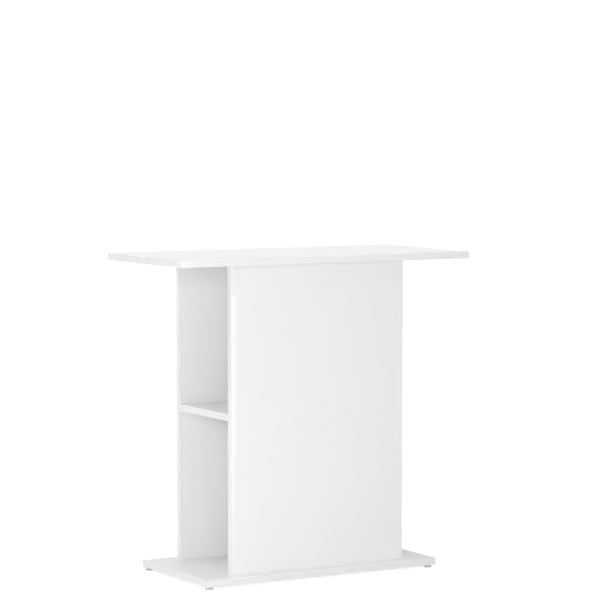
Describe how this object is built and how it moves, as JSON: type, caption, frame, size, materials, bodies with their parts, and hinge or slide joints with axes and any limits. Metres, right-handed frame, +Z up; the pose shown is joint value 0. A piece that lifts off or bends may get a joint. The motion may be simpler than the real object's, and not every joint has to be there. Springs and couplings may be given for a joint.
{
  "type": "aquarium stand",
  "caption": "White flat-pack aquarium stand: wide top board on an open column with side compartments and shelves, on a base board with small round feet.",
  "frame": {"origin": "on the floor, under the middle of the stand", "axes": "+X to the right along the front, +Y from front to back, +Z up"},
  "size_m": [0.75, 0.36, 0.733],
  "materials": {
    "white_board": "high-gloss white melamine on chipboard",
    "white_edge_strip": "gloss white plastic strip",
    "zinc_cam": "die-cast zinc, satin",
    "plated_steel": "bright zinc plate",
    "white_cap": "satin white plastic",
    "beech_dowel": "raw beech",
    "foot_plastic": "satin grey plastic"
  },
  "bodies": {
    "root": {"back_panel": "white_board", "back_panel_edge_bands": "white_edge_strip", "base_edge_bands": "white_edge_strip", "base_panel": "white_board", "base_screws": "plated_steel", "centre_divider": "white_board", "divider_cam_bolts": "plated_steel", "divider_cam_caps": "white_cap", "divider_cams": "zinc_cam", "divider_dowels": "beech_dowel", "foot_back_left": "foot_plastic", "foot_back_right": "foot_plastic", "foot_front_left": "foot_plastic", "foot_front_right": "foot_plastic", "front_panel": "white_board", "front_panel_edge_bands": "white_edge_strip", "left_shelf": "white_board", "left_shelf_edge_band": "white_edge_strip", "right_shelf": "white_board", "right_shelf_edge_band": "white_edge_strip", "shelf_dowels": "beech_dowel", "shelf_through_dowels": "beech_dowel", "top_cam_bolts": "plated_steel", "top_cam_caps": "white_cap", "top_cams": "zinc_cam", "top_dowels": "beech_dowel", "top_edge_bands": "white_edge_strip", "top_panel": "white_board"}
  },
  "joints": []
}
